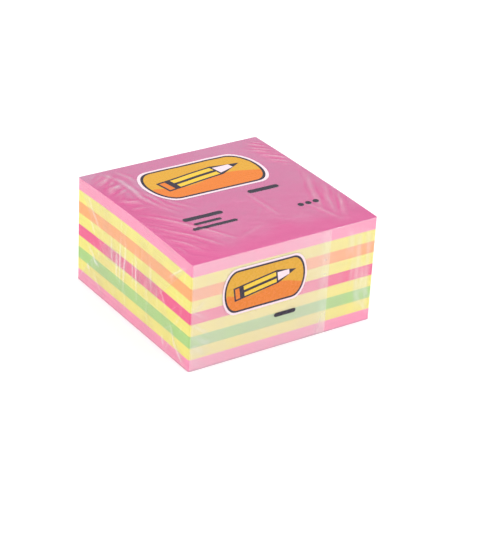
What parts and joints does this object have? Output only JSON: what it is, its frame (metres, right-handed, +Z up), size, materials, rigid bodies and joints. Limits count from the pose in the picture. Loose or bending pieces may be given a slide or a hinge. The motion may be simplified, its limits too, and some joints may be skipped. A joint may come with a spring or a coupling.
{
  "type": "sticky note pad",
  "caption": "Square cube of sticky notes in alternating pastel colours, shrink-wrapped in clear film with folded ends.",
  "frame": {"origin": "middle of the wrapped underside, where the pad rests", "axes": "+Z up through the pile of notes; the side with the wrap's large print looks along -Y; the folded ends of the wrap look along -X and +X; the notes' gummed edges are at +Y"},
  "size_m": [0.0768, 0.0768, 0.0421],
  "materials": {
    "paper_pink": "matte",
    "paper_yellow": "matte",
    "paper_green": "matte",
    "paper_hot_pink": "matte",
    "paper_orange": "matte",
    "clear_film": "gloss, clear, wrinkled"
  },
  "bodies": {
    "root": {"note_run_1_pink": "paper_pink", "note_run_2_yellow": "paper_yellow", "note_run_3_green": "paper_green", "note_run_4_yellow": "paper_yellow", "note_run_5_hot_pink": "paper_hot_pink", "note_run_6_yellow": "paper_yellow", "note_run_7_orange": "paper_orange", "note_run_8_yellow": "paper_yellow", "note_run_9_pink": "paper_pink", "film_wrap": "clear_film"}
  },
  "joints": []
}
